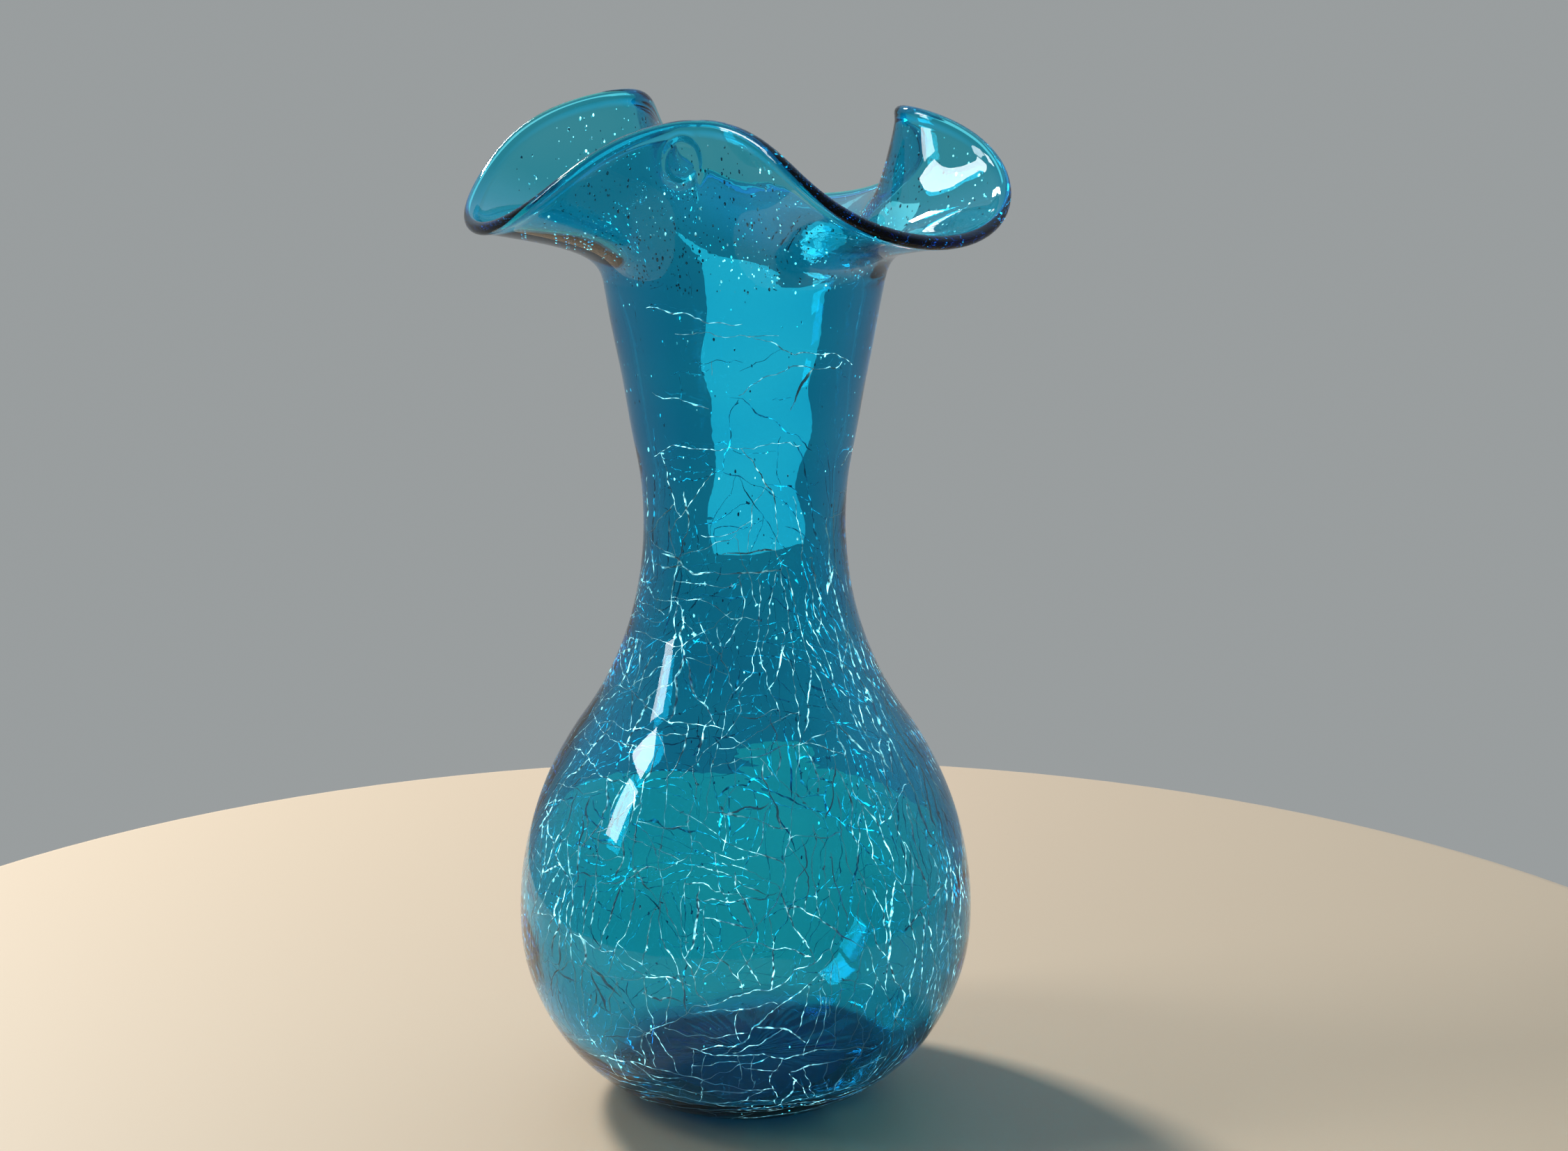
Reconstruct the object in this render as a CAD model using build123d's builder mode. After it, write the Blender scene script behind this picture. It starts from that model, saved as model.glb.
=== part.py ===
from build123d import *
import math
import os

# A free-blown vase of crackle glass: a round bulb, a drawn-in neck and a mouth
# pulled open into three spouts, its lip melted back into a thick round roll.
# Millimetres. The origin is on the vase's axis, in the flat ground foot, +Z up.
# -Y is the side that has one crest of the mouth squarely in front.

# ---------------------------------------------------------------- driving sizes

# Outside of the blown body, as radius and height of the places that shape it.
foot_radius = 25.0
foot_rise = 20.0            # degrees that the glass climbs at as it leaves the foot
foot_edge_radius = 1.2      # the ground edge, worn round
belly_radius, belly_height = 56.0, 46.0
waist_radius, waist_height = 24.5, 144.0
shoulder_share = 0.5        # how far from belly to waist the bulge turns hollow
neck_bend_radius = 100.0
neck_flare = 10.3           # degrees outwards from upright, from the bend to the throat
throat_height = 203.0       # where the body ends and the mouth begins

# The layers of glass that the body is gathered from.
casing_wall = 1.7
core_wall = 1.4
heavy_base = 7.5            # height of the top of the thick glass over the foot
well_corner = 9.0           # round between the floor and wall of the hollow

# The mouth, drawn out into spouts with crests between them.
spouts = 3
spout_turn = 76.0           # degrees from +X to the middle of the first spout
lip_radius = 54.9           # mean radius of the lip's roll
lip_swing = 12.3            # how much further out a spout is, and further in a crest
lip_pinch = 3.0             # narrows the crests and blunts the spouts
lip_rise = 27.9             # mean height of the lip's roll above the throat
lip_drop = 12.9             # how far a spout droops, and a crest stands up
lip_round = 1.7             # flattens the crests and deepens the spouts
spout_spread = 5.3          # degrees that a spout's sides are pushed round
spout_square = 3.6          # degrees that square the spout's sides
high_side = 150.0           # degrees to the side that the hand left higher
high_tilt = 1.1
high_sway = 1.0
lip_roll_radius = 1.6
lip_overhang = 0.4          # how far the roll stands out past the wall on each side

# How the mouth's wall bends between the throat and the lip.
spout_end_rise = 10.0       # degrees above level where it reaches the lip in a spout
crest_end_rise = 84.0       # degrees above level where it reaches the lip in a crest
spout_throat_pull = 9.0     # how far the throat's own slope carries on in a spout
crest_throat_pull = 13.0
spout_lip_pull = 18.0       # how far back the lip's slope reaches in a spout
crest_lip_pull = 13.0

flats_per_spout = 16        # straight runs that make up each spout's curve

body_wall = casing_wall + core_wall
well_floor = heavy_base + core_wall
lip_wall = 2 * (lip_roll_radius - lip_overhang)
spout_pitch = 360.0 / spouts


# ---------------------------------------------------------------- the body's outline

def meeting_place(start, start_run, end, end_run):
    """Where two arcs meet that leave start and reach end along the given runs."""
    span = end - start
    both = start_run + end_run
    turning = 2 * (1 - start_run.dot(end_run))
    reach = math.sqrt(span.dot(both) ** 2 + turning * span.dot(span)) - span.dot(both)
    return (start + end + (start_run - end_run) * (reach / turning)) / 2


# Each place where the outline's arcs meet, with the way the glass runs there.
up = Vector(0, 1)
rise = math.radians(foot_rise)
flare = math.radians(neck_flare)
foot_run = Vector(math.cos(rise), math.sin(rise))
neck_run = Vector(math.sin(flare), math.cos(flare))

foot = Vector(foot_radius, 0)
belly = Vector(belly_radius, belly_height)
waist = Vector(waist_radius, waist_height)
heel = meeting_place(belly, -up, foot, -foot_run)
shoulder = belly + (waist - belly) * shoulder_share
bend_end = waist + Vector(1 - math.cos(flare), math.sin(flare)) * neck_bend_radius
throat = bend_end + neck_run * ((throat_height - bend_end.Y) / neck_run.Y)

heel_run = -(TangentArc(belly, heel, tangent=-up) % 1)
shoulder_run = TangentArc(belly, shoulder, tangent=up) % 1


def set_in(place, run, depth):
    """A place on the outline moved into the glass, square to its upward run."""
    return place + Vector(-run.Y, run.X) * depth


def layer_outline(depth):
    """Draws the closed half section of everything inside the layer at depth."""
    inner_belly = set_in(belly, up, depth)
    inner_heel = set_in(heel, heel_run, depth)
    inner_foot = set_in(foot, foot_run, depth)
    inner_shoulder = set_in(shoulder, shoulder_run, depth)
    inner_waist = set_in(waist, up, depth)
    inner_bend_end = set_in(bend_end, neck_run, depth)
    inner_throat = throat - Vector(depth / neck_run.Y, 0)
    TangentArc(inner_belly, inner_heel, tangent=-up)
    TangentArc(inner_heel, inner_foot, tangent=-heel_run)
    TangentArc(inner_belly, inner_shoulder, tangent=up)
    TangentArc(inner_shoulder, inner_waist, tangent=shoulder_run)
    TangentArc(inner_waist, inner_bend_end, tangent=up)
    Line(inner_bend_end, inner_throat)
    Polyline(inner_throat, (0, throat_height), (0, inner_foot.Y), inner_foot)


# ---------------------------------------------------------------- the mouth's curves

def spout_share(turn):
    """1 in the middle of a spout, -1 at the middle of a crest."""
    return math.cos(spouts * math.radians(turn - spout_turn))


def lip_centre(turn):
    """Polar angle in degrees, radius and height of the lip's roll."""
    swing = spouts * math.radians(turn - spout_turn)
    off_side = math.radians(turn - high_side)
    angle = turn + spout_spread * math.sin(swing) + spout_square * math.sin(2 * swing)
    radius = lip_radius + lip_swing * math.cos(swing) - lip_pinch * math.cos(2 * swing)
    height = throat_height + lip_rise
    height -= lip_drop * math.cos(swing) + lip_round * math.cos(2 * swing)
    height += high_tilt * math.cos(off_side) + high_sway * math.cos(2 * off_side)
    return angle, radius, height


def lip_point(turn):
    """The centre of the lip's roll as a point."""
    angle, radius, height = lip_centre(turn)
    spin = math.radians(angle)
    return Vector(radius * math.cos(spin), radius * math.sin(spin), height)


def between(share, in_crest, in_spout):
    """A value that goes smoothly from its crest's to its spout's."""
    return in_crest + (in_spout - in_crest) * (1 + share) / 2


def wall_points(turn, side):
    """Four Bezier points of the mouth's wall: side is 0 outside, 1 inside."""
    share = spout_share(turn)
    _, radius, height = lip_centre(turn)
    rise = math.radians(between(share, crest_end_rise, spout_end_rise))
    throat_pull = between(share, crest_throat_pull, spout_throat_pull)
    lip_pull = between(share, crest_lip_pull, spout_lip_pull)
    inset = side * body_wall / neck_run.Y
    offset = (0.5 - side) * lip_wall
    start = throat - Vector(inset, 0)
    end = Vector(radius + offset * math.sin(rise), height - offset * math.cos(rise))
    start_pull = start + neck_run * throat_pull
    end_pull = end - Vector(math.cos(rise), math.sin(rise)) * lip_pull
    return start, start_pull, end_pull, end


# ---------------------------------------------------------------- pieces

# The outer gather: the whole outside of the body, closed under the foot.
with BuildPart() as crackle_casing:
    with BuildSketch(Plane.XZ) as casing_half:
        with BuildLine():
            layer_outline(0.0)
        make_face()
        ground_edge = casing_half.vertices().sort_by_distance(foot)[0]
        fillet(ground_edge, foot_edge_radius)
    revolve(axis=Axis.Z)
    with BuildSketch(Plane.XZ):
        with BuildLine():
            layer_outline(casing_wall)
        make_face()
        Rectangle(
            3 * belly_radius, 2 * casing_wall, align=(Align.CENTER, Align.CENTER), mode=Mode.SUBTRACT
        )
    revolve(axis=Axis.Z, mode=Mode.SUBTRACT)
crackle_casing.part.label = "crackle_casing"

# The thick dark glass that settles over the foot, inside the casing.
with BuildPart() as heavy_base_pad:
    with BuildSketch(Plane.XZ):
        with BuildLine():
            layer_outline(casing_wall)
        make_face()
        with Locations((0, casing_wall)):
            Rectangle(
                3 * belly_radius,
                heavy_base - casing_wall,
                align=(Align.CENTER, Align.MIN),
                mode=Mode.INTERSECT,
            )
    revolve(axis=Axis.Z)
heavy_base_pad.part.label = "heavy_base_pad"

# The first gather: the blown bubble that lines the casing.
with BuildPart() as core_bubble:
    with BuildSketch(Plane.XZ):
        with BuildLine():
            layer_outline(casing_wall)
        make_face()
        with Locations((0, heavy_base)):
            Rectangle(
                3 * belly_radius,
                throat_height,
                align=(Align.CENTER, Align.MIN),
                mode=Mode.INTERSECT,
            )
    revolve(axis=Axis.Z)
    with BuildSketch(Plane.XZ) as hollow_half:
        with BuildLine():
            layer_outline(body_wall)
        make_face()
        with Locations((0, well_floor)):
            Rectangle(
                3 * belly_radius,
                throat_height,
                align=(Align.CENTER, Align.MIN),
                mode=Mode.INTERSECT,
            )
        well_edge = hollow_half.vertices().group_by(Axis.Y)[0].sort_by(Axis.X)[-1]
        fillet(well_edge, well_corner)
    revolve(axis=Axis.Z, mode=Mode.SUBTRACT)
core_bubble.part.label = "core_bubble"

# The thick roll of glass along the lip, one length from spout to spout at a time.
with BuildPart() as rolled_lip:
    for spout in range(spouts):
        for step in range(flats_per_spout + 1):
            turn = spout_turn + (spout + step / flats_per_spout) * spout_pitch
            along = lip_point(turn + 0.5) - lip_point(turn - 0.5)
            across = along.cross(Vector(0, 0, 1))
            with BuildSketch(Plane(origin=lip_point(turn), x_dir=across, z_dir=along)):
                Circle(lip_roll_radius)
        loft(ruled=True)
rolled_lip.part.label = "rolled_lip"

# The mouth, reheated, drawn out into spouts and left uncracked. Its edge is bedded
# in the roll.
with BuildPart() as ruffled_mouth:
    for spout in range(spouts):
        for step in range(flats_per_spout + 1):
            turn = spout_turn + (spout + step / flats_per_spout) * spout_pitch
            spin = math.radians(lip_centre(turn)[0])
            outward = (math.cos(spin), math.sin(spin), 0)
            back = (math.sin(spin), -math.cos(spin), 0)
            with BuildSketch(Plane(origin=(0, 0, 0), x_dir=outward, z_dir=back)):
                with BuildLine():
                    outer = Bezier(*wall_points(turn, 0))
                    inner = Bezier(*wall_points(turn, 1))
                    Line(outer @ 1, inner @ 1)
                    Line(inner @ 0, outer @ 0)
                make_face()
        loft(ruled=True)
    add(rolled_lip.part, mode=Mode.SUBTRACT)
ruffled_mouth.part.label = "ruffled_mouth"

os.makedirs("parts", exist_ok=True)
for piece in (crackle_casing, heavy_base_pad, core_bubble, ruffled_mouth, rolled_lip):
    export_step(piece.part, f"parts/{piece.part.label}.step")
    print(piece.part.label, "volume mm3", round(piece.part.volume))
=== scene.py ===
"""The looks of a free-blown crackle glass vase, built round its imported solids.

Everything is in metres in the solids' own frame: the origin lies in the ground foot, on the vase's axis,
and +Z is up.
"""

import logging
import math
import random
from dataclasses import dataclass, field
from enum import Enum

import bpy
import numpy as np
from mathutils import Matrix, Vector, noise


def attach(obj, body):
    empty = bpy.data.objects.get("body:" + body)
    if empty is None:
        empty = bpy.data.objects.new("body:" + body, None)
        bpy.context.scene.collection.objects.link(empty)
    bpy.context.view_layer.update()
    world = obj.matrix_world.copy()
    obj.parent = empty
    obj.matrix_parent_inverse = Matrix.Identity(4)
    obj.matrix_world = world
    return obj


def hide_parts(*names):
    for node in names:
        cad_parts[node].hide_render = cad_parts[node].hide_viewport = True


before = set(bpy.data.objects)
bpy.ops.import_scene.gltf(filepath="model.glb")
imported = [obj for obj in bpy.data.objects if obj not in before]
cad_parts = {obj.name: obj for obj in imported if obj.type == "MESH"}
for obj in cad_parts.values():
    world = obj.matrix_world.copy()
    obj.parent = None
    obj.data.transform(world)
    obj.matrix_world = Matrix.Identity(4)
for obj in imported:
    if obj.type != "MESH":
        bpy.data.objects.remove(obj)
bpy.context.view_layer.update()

MM = 0.001
STRAIGHT = 1e-6
LOG = logging.getLogger("vase")

Piece = bpy.types.Object
Tree = bpy.types.NodeTree
Node = bpy.types.Node
Socket = bpy.types.NodeSocket
Material = bpy.types.Material
Triple = tuple[float, float, float]


# ---------------------------------------------------------------- helpers


def deselect_all() -> None:
    """Leaves object mode with nothing selected."""
    if bpy.context.mode != "OBJECT":
        bpy.ops.object.mode_set(mode="OBJECT")
    bpy.ops.object.select_all(action="DESELECT")


def make_active(piece: Piece) -> None:
    """Makes a piece the only selected object, and the active one.

    Args:
        piece: The object to select.
    """
    deselect_all()
    piece.select_set(True)
    bpy.context.view_layer.objects.active = piece


def apply_modifier(piece: Piece, kind: str, **settings: object) -> None:
    """Adds one modifier to a piece and applies it.

    Args:
        piece: The object to change.
        kind: The modifier's type, such as "SOLIDIFY".
        **settings: The modifier's own settings.
    """
    make_active(piece)
    modifier = piece.modifiers.new(kind.lower(), kind)
    for name, value in settings.items():
        setattr(modifier, name, value)
    bpy.ops.object.modifier_apply(modifier=modifier.name)


def get_points(piece: Piece) -> np.ndarray:
    """Reads a piece's vertices.

    Args:
        piece: The mesh object.

    Returns:
        Rows x, y, z.
    """
    flat = np.empty(len(piece.data.vertices) * 3)
    piece.data.vertices.foreach_get("co", flat)
    return flat.reshape(-1, 3)


def get_normals(piece: Piece) -> np.ndarray:
    """Reads the unit rows that point out of a piece at its vertices.

    Args:
        piece: The mesh object.

    Returns:
        Rows x, y, z.
    """
    flat = np.empty(len(piece.data.vertices) * 3)
    piece.data.vertices.foreach_get("normal", flat)
    return flat.reshape(-1, 3)


def set_points(piece: Piece, points: np.ndarray) -> None:
    """Moves the piece's vertices to the rows of points."""
    piece.data.vertices.foreach_set("co", points.ravel())
    piece.data.update()


def piece_from_faces(name: str, points: np.ndarray, faces: np.ndarray) -> Piece:
    """Makes a mesh object out of points and faces, at the origin.

    Args:
        name: The new object's name.
        points: Rows x, y, z.
        faces: Rows of vertex numbers.

    Returns:
        The new object, linked to the scene.
    """
    mesh = bpy.data.meshes.new(name)
    mesh.from_pydata(points.tolist(), [], faces.tolist())
    mesh.validate()
    piece = bpy.data.objects.new(name, mesh)
    bpy.context.scene.collection.objects.link(piece)
    return piece


def unit(rows: np.ndarray) -> np.ndarray:
    """Each row scaled to length 1."""
    return rows / np.maximum(np.linalg.norm(rows, axis=-1, keepdims=True), 1e-12)


# ---------------------------------------------------------------- the blown shape


def arc(start: complex, run: complex, end: complex, steps: int) -> list[complex]:
    """Points on the circular arc that leaves start along run and reaches end.

    Args:
        start: First place, as radius + height * i.
        run: Direction at the start.
        end: Last place.
        steps: How many equal parts the arc is cut into.

    Returns:
        The places after the start, up to and including the end.
    """
    chord = end - start
    half_turn = math.atan2((chord / run).imag, (chord / run).real)
    if abs(half_turn) < STRAIGHT:
        return [start + chord * k / steps for k in range(1, steps + 1)]
    reach = abs(chord) / math.sin(half_turn)
    heading = run / abs(run)
    places = []
    for k in range(1, steps + 1):
        turned = half_turn * k / steps
        swing = complex(math.cos(turned), math.sin(turned))
        places.append(start + heading * reach * math.sin(turned) * swing)
    return places


def run_at_end(start: complex, run: complex, end: complex) -> complex:
    """The direction in which an arc reaches its end.

    Args:
        start: First place, as radius + height * i.
        run: Direction at the start.
        end: Last place.

    Returns:
        Its direction there, of length 1.
    """
    chord = (end - start) / (run / abs(run))
    half_turn = math.atan2(chord.imag, chord.real)
    return run / abs(run) * complex(math.cos(2 * half_turn), math.sin(2 * half_turn))


@dataclass(frozen=True)
class BodyShape:
    """The bulb and neck: tangent arcs from the ground foot up to the throat."""

    foot_radius: float = 25.0 * MM
    foot_rise: float = math.radians(20.0)
    foot_edge: float = 1.2 * MM
    belly: complex = complex(56.0, 46.0) * MM
    waist: complex = complex(24.5, 144.0) * MM
    shoulder_share: float = 0.5
    neck_bend_radius: float = 100.0 * MM
    neck_flare: float = math.radians(10.3)
    throat_height: float = 203.0 * MM
    wall: float = 3.1 * MM
    well_floor: float = 8.9 * MM
    well_corner: float = 9.0 * MM
    station_gap: float = 1.7 * MM
    foot_rings: int = 6
    edge_steps: int = 3
    well_rings: int = 10
    corner_steps: int = 9
    halvings: int = 50

    def neck_run(self) -> complex:
        """Direction of the straight stretch below the throat."""
        return complex(math.sin(self.neck_flare), math.cos(self.neck_flare))

    def joints(self) -> list[tuple[complex, complex]]:
        """Where the outside's arcs meet.

        Returns:
            The places from the foot up, each with the way the glass runs there.
        """
        foot_run = complex(math.cos(self.foot_rise), math.sin(self.foot_rise))
        foot = complex(self.foot_radius, 0)
        span = foot - self.belly
        both = -1j - foot_run
        turning = 2 * (1 - (-1j * (-foot_run).conjugate()).real)
        along = (span * both.conjugate()).real
        reach = (math.sqrt(along**2 + turning * abs(span) ** 2) - along) / turning
        heel = (self.belly + foot + (-1j + foot_run) * reach) / 2
        heel_run = -run_at_end(self.belly, -1j, heel)
        shoulder = self.belly + (self.waist - self.belly) * self.shoulder_share
        shoulder_run = run_at_end(self.belly, 1j, shoulder)
        swing = complex(1 - math.cos(self.neck_flare), math.sin(self.neck_flare))
        bend_end = self.waist + swing * self.neck_bend_radius
        return [
            (foot, foot_run),
            (heel, heel_run),
            (self.belly, 1j),
            (shoulder, shoulder_run),
            (self.waist, 1j),
            (bend_end, self.neck_run()),
        ]

    def throat(self, depth: float) -> complex:
        """Where a layer crosses the throat's level.

        Args:
            depth: How far inside the outer skin the layer lies.

        Returns:
            The place, as radius + height * i.
        """
        bend_end = self.joints()[-1][0]
        run = self.neck_run()
        level = bend_end + run * ((self.throat_height - bend_end.imag) / run.imag)
        return level - depth / run.imag

    def line(self, depth: float) -> list[complex]:
        """The outline's layer at depth, from the foot up to the throat.

        Args:
            depth: How far inside the outer skin the line lies.

        Returns:
            Places about one station gap apart.
        """
        inset = [(place + run * 1j * depth, run) for place, run in self.joints()]
        places = [inset[0][0]]
        for (start, run), (end, _) in zip(inset, inset[1:]):
            steps = max(2, round(abs(end - start) / self.station_gap))
            places += arc(start, run, end, steps)
        last, run = inset[-1]
        end = self.throat(depth)
        return places + arc(last, run, end, round(abs(end - last) / self.station_gap))

    def outside(self) -> list[complex]:
        """The outer skin's outline.

        Returns:
            Places from the axis under the foot to the throat.
        """
        skin = self.line(0.0)
        edge = self.foot_edge * math.tan(self.foot_rise / 2)
        start = skin[0] - edge
        rings = [complex(start.real * k / self.foot_rings, 0) for k in range(self.foot_rings + 1)]
        end = skin[0] + self.joints()[0][1] * edge
        return rings + arc(start, 1 + 0j, end, self.edge_steps) + skin[1:]

    def inside(self) -> list[complex]:
        """The hollow's outline.

        Returns:
            Places from the throat down to the axis on the well's floor.
        """
        skin = np.array(self.line(self.wall))
        skin = skin[skin.imag > self.well_floor]
        level = self.well_floor + self.well_corner
        near, far = 0.0, skin.real.max()
        for _ in range(self.halvings):
            middle = (near + far) / 2
            clear = np.abs(skin - complex(middle, level)).min() > self.well_corner
            near, far = (middle, far) if clear else (near, middle)
        centre = complex(near, level)
        touch = skin[np.abs(skin - centre).argmin()]
        upper = [place for place in skin if place.imag > touch.imag + STRAIGHT]
        corner = arc(complex(near, self.well_floor), 1 + 0j, complex(touch), self.corner_steps)
        rings = [complex(near * k / self.well_rings, self.well_floor) for k in range(self.well_rings + 1)]
        return (rings + corner + upper)[::-1]


class Side(Enum):
    """Which side of the mouth's wall a place is on."""

    OUTSIDE = 1
    INSIDE = -1


@dataclass(frozen=True)
class MouthShape:
    """The mouth: a flare pulled out into spouts with crests between them."""

    body: BodyShape = field(default_factory=BodyShape)
    spouts: int = 3
    spout_turn: float = math.radians(76.0)
    lip_radius: float = 54.9 * MM
    lip_swing: float = 12.3 * MM
    lip_pinch: float = 3.0 * MM
    lip_rise: float = 27.9 * MM
    lip_drop: float = 12.9 * MM
    lip_round: float = 1.7 * MM
    spout_spread: float = math.radians(5.3)
    spout_square: float = math.radians(3.6)
    high_side: float = math.radians(150.0)
    high_tilt: float = 1.1 * MM
    high_sway: float = 1.0 * MM
    lip_wall: float = 2.4 * MM
    lip_bead: float = 1.6 * MM
    bead_shoulder: float = 1.5 * MM
    spout_end_rise: float = math.radians(10.0)
    crest_end_rise: float = math.radians(84.0)
    spout_throat_pull: float = 9.0 * MM
    crest_throat_pull: float = 13.0 * MM
    spout_lip_pull: float = 18.0 * MM
    crest_lip_pull: float = 13.0 * MM
    nudge: float = 1e-3

    def lip(self, turn: np.ndarray) -> np.ndarray:
        """The middle of the lip's roll.

        Args:
            turn: Turns round the axis.

        Returns:
            Rows x, y, z.
        """
        swing = self.spouts * (turn - self.spout_turn)
        side = turn - self.high_side
        spin = turn + self.spout_spread * np.sin(swing) + self.spout_square * np.sin(2 * swing)
        radius = self.lip_radius + self.lip_swing * np.cos(swing) - self.lip_pinch * np.cos(2 * swing)
        height = self.body.throat_height + self.lip_rise
        height = height - self.lip_drop * np.cos(swing) - self.lip_round * np.cos(2 * swing)
        height = height + self.high_tilt * np.cos(side) + self.high_sway * np.cos(2 * side)
        return np.stack([radius * np.cos(spin), radius * np.sin(spin), height], -1)

    def share(self, turn: np.ndarray, in_crest: float, in_spout: float) -> np.ndarray:
        """A value that goes smoothly from its crest's to its spout's."""
        swing = np.cos(self.spouts * (turn - self.spout_turn))
        return in_crest + (in_spout - in_crest) * (1 + swing) / 2

    def middle(self, turn: np.ndarray, reach: np.ndarray) -> np.ndarray:
        """The middle of the wall.

        Args:
            turn: Turns round the axis.
            reach: How far along each is, from 0 at the throat to 1 at the lip.

        Returns:
            Rows x, y, z.
        """
        lip = self.lip(turn)
        lip_spin = np.arctan2(lip[..., 1], lip[..., 0])
        out = np.stack([np.cos(lip_spin), np.sin(lip_spin)], -1)
        rise = self.share(turn, self.crest_end_rise, self.spout_end_rise)
        throat_pull = self.share(turn, self.crest_throat_pull, self.spout_throat_pull)
        lip_pull = self.share(turn, self.crest_lip_pull, self.spout_lip_pull)
        throat = self.body.throat(self.body.wall / 2)
        run = self.body.neck_run()
        end = np.hypot(lip[..., 0], lip[..., 1]) + 1j * lip[..., 2]
        bend = end - np.exp(1j * rise) * lip_pull
        start = throat + run * throat_pull
        left = 1 - reach
        place = left**3 * throat + 3 * left**2 * reach * start + 3 * left * reach**2 * bend + reach**3 * end
        return np.concatenate([out * place.real[..., None], place.imag[..., None]], -1)

    def outward(self, turn: np.ndarray, reach: np.ndarray) -> np.ndarray:
        """The way square to the wall's middle, to its outer side.

        Args:
            turn: Turns round the axis.
            reach: How far along each is, from 0 at the throat to 1 at the lip.

        Returns:
            Unit rows.
        """
        across = self.middle(turn + self.nudge, reach) - self.middle(turn - self.nudge, reach)
        along = self.middle(turn, reach + self.nudge) - self.middle(turn, reach - self.nudge)
        return unit(np.cross(across, along))

    def wall_place(self, turn: np.ndarray, side: Side, share: float, back: float) -> np.ndarray:
        """Places on the wall's skin.

        Args:
            turn: Turns round the axis.
            side: Which skin.
            share: How far up the plain part of the wall, from 0 to 1.
            back: Distance back from the lip's middle, which the plain part ends at.

        Returns:
            Rows x, y, z.
        """
        lip_pull = self.share(turn, self.crest_lip_pull, self.spout_lip_pull)
        reach = share * (1 - back / (3 * lip_pull))
        left = (1 - reach) * 3 * lip_pull
        half = self.body.wall / 2 + (self.lip_wall - self.body.wall) / 2 * reach
        half = half + (self.lip_bead - self.lip_wall / 2) * np.exp(-((left / self.bead_shoulder) ** 2))
        return self.middle(turn, reach) + self.outward(turn, reach) * (half * side.value)[..., None]

    def bead_place(self, turn: np.ndarray, round_turn: float) -> np.ndarray:
        """Places on the lip's roll.

        Args:
            turn: Turns round the axis.
            round_turn: How far round the roll, from 0 outside over the edge to pi inside.

        Returns:
            Rows x, y, z.
        """
        reach = np.ones_like(turn)
        square = self.outward(turn, reach)
        along = unit(self.lip(turn + self.nudge) - self.lip(turn - self.nudge))
        edge = np.cross(square, along)
        return self.lip(turn) + (square * math.cos(round_turn) + edge * math.sin(round_turn)) * self.lip_bead


@dataclass(frozen=True)
class ToolMarks:
    """What the tools left in the front crest: a raised ring, and a groove that runs up to the lip."""

    ring_centre: Triple = (-0.0139, -0.0371, 0.2339)
    ring_stretch: Triple = (1.0, 1.0, 0.8)
    ring_radius: float = 4.2 * MM
    ring_height: float = 0.28 * MM
    crimp_centre: Triple = (-0.0104, -0.0372, 0.2340)
    crimp_stretch: Triple = (1.0, 1.0, 0.12)
    crimp_depth: float = 0.40 * MM
    width: float = 1.3 * MM


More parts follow.
